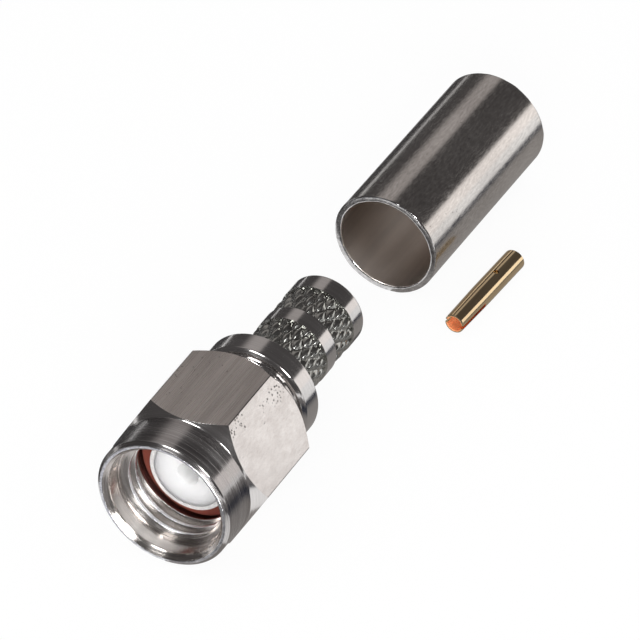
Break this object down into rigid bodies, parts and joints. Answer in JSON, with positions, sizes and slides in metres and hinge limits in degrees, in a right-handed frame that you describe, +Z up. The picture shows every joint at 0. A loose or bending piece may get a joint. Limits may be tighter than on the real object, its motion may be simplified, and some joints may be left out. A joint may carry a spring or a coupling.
{
  "type": "sma connector",
  "caption": "Reverse-polarity SMA crimp plug with captive hexagon nut and knurled crimp spigot, laid out with its loose crimp ferrule and slotted centre contact.",
  "frame": {"origin": "on the plug's axis in its reference plane, the plane of the outer conductor's front face, where the coupling thread ends", "axes": "+Y along the plug from its mouth to its cable end, +Z up from the table that the pieces lie on, +X to the side where the contact lies"},
  "size_m": [0.0103, 0.0392, 0.008],
  "materials": {
    "nut_nickel": "nickel-plated brass, lengthwise drawing lines on the flats, turned sleeve",
    "body_nickel": "nickel-plated brass, satin turned surfaces and a diamond knurl",
    "ferrule_nickel": "nickel-plated brass tube with a satin drawn surface",
    "contact_gold": "gold-plated brass, bright and slightly drawn",
    "ring_steel": "bright spring wire",
    "insulator_ptfe": "turned white PTFE, slightly translucent",
    "gasket_silicone": "red silicone rubber, matt"
  },
  "bodies": {
    "plug": {"plug_body": "body_nickel", "insulator": "insulator_ptfe", "gasket": "gasket_silicone", "retaining_ring": "ring_steel", "crimp_ferrule": "ferrule_nickel", "center_contact": "contact_gold"},
    "nut": {"coupling_nut": "nut_nickel"}
  },
  "joints": [
    {"name": "nut_spin", "type": "hinge", "parent": "plug", "child": "nut", "pos_m": [0, 0, 0], "axis": [0, 1, 0], "continuous": true}
  ]
}
